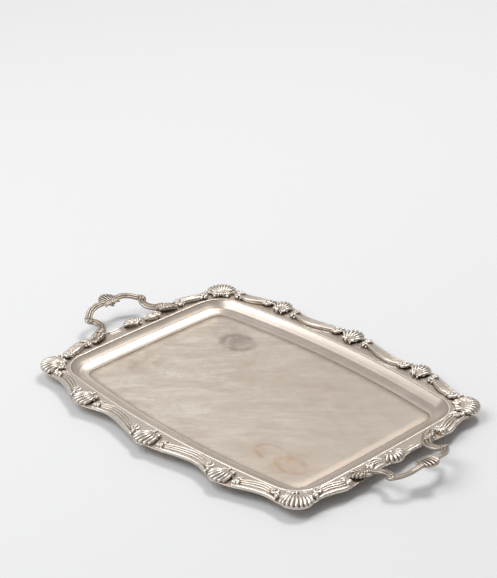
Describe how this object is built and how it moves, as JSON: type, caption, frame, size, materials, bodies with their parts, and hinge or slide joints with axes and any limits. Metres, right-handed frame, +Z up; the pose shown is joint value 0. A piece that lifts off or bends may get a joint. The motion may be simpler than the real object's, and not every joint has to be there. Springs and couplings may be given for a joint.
{
  "type": "dresser vanity tray",
  "caption": "Rectangular silver-plated vanity tray with a coved well, a cast shell and scroll border and an arched cast handle at each end.",
  "frame": {"origin": "middle of the underside of the flat base, on the surface that the tray rests on", "axes": "+X along the tray from handle to handle, +Y across it, +Z up"},
  "size_m": [0.6192, 0.402, 0.0365],
  "materials": {
    "pan": "worn satin silver plate over brass, faintly stained and scratched",
    "border": "cast silver plate, rubbed bright on the high points and brown in the hollows",
    "handle": "cast silver plate, duller and browner than the border"
  },
  "bodies": {
    "root": {"tray_pan": "pan", "front_centre_shell": "border", "back_centre_shell": "border", "front_left_shell": "border", "front_right_shell": "border", "back_left_shell": "border", "back_right_shell": "border", "front_left_corner_shell": "border", "front_right_corner_shell": "border", "back_left_corner_shell": "border", "back_right_corner_shell": "border", "left_end_shell": "border", "right_end_shell": "border", "front_left_inner_scroll": "border", "front_right_inner_scroll": "border", "back_left_inner_scroll": "border", "back_right_inner_scroll": "border", "front_left_outer_scroll": "border", "front_right_outer_scroll": "border", "back_left_outer_scroll": "border", "back_right_outer_scroll": "border", "left_front_end_scroll": "border", "right_front_end_scroll": "border", "left_back_end_scroll": "border", "right_back_end_scroll": "border", "left_front_foot_scroll": "border", "right_front_foot_scroll": "border", "left_back_foot_scroll": "border", "right_back_foot_scroll": "border", "left_handle_bar": "handle", "right_handle_bar": "handle", "left_handle_shell": "handle", "right_handle_shell": "handle", "left_front_handle_leaf": "handle", "right_front_handle_leaf": "handle", "left_back_handle_leaf": "handle", "right_back_handle_leaf": "handle"}
  },
  "joints": []
}
